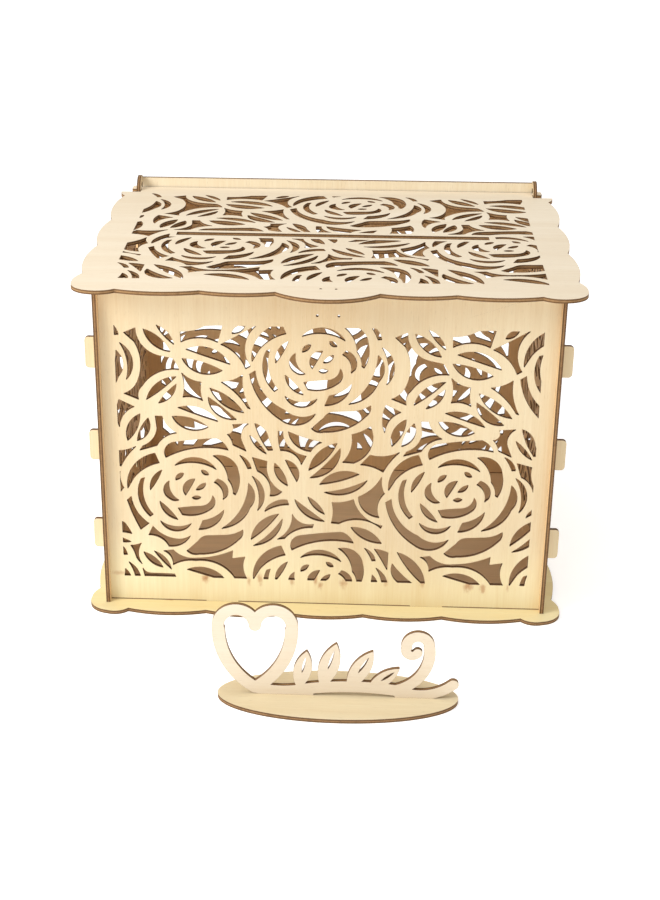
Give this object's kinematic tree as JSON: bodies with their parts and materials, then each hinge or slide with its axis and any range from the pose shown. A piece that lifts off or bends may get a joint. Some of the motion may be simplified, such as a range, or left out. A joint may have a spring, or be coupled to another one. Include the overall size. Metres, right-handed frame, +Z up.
{
  "type": "wedding card box",
  "caption": "Flat-pack plywood card box with rose-and-leaf fretwork walls, scalloped hinged lid with a card slot, and a small free-standing scroll sign.",
  "frame": {"origin": "middle of the footprint of the box and its sign together, at table level", "axes": "+Z up, -Y towards the front where the sign stands, +X to the right seen from the front"},
  "size_m": [0.3012, 0.3581, 0.2286],
  "materials": {
    "plywood": "bare sanded veneer with scorched dark-brown cut edges"
  },
  "bodies": {
    "case": {"front_panel": "plywood", "back_panel": "plywood", "left_side_panel": "plywood", "right_side_panel": "plywood", "base_plate": "plywood"},
    "lid": {"lid": "plywood"},
    "sign": {"sign_scroll": "plywood", "sign_base": "plywood"}
  },
  "joints": [
    {"name": "lid_hinge", "type": "hinge", "parent": "case", "child": "lid", "pos_m": [0, 0.15814, 0.2188], "axis": [-1, 0, 0], "range_deg": [0, 95]},
    {"name": "sign_slide", "type": "slide", "parent": "case", "child": "sign", "axis": [0, -1, 0], "range_m": [-0.05, 0.12]}
  ]
}
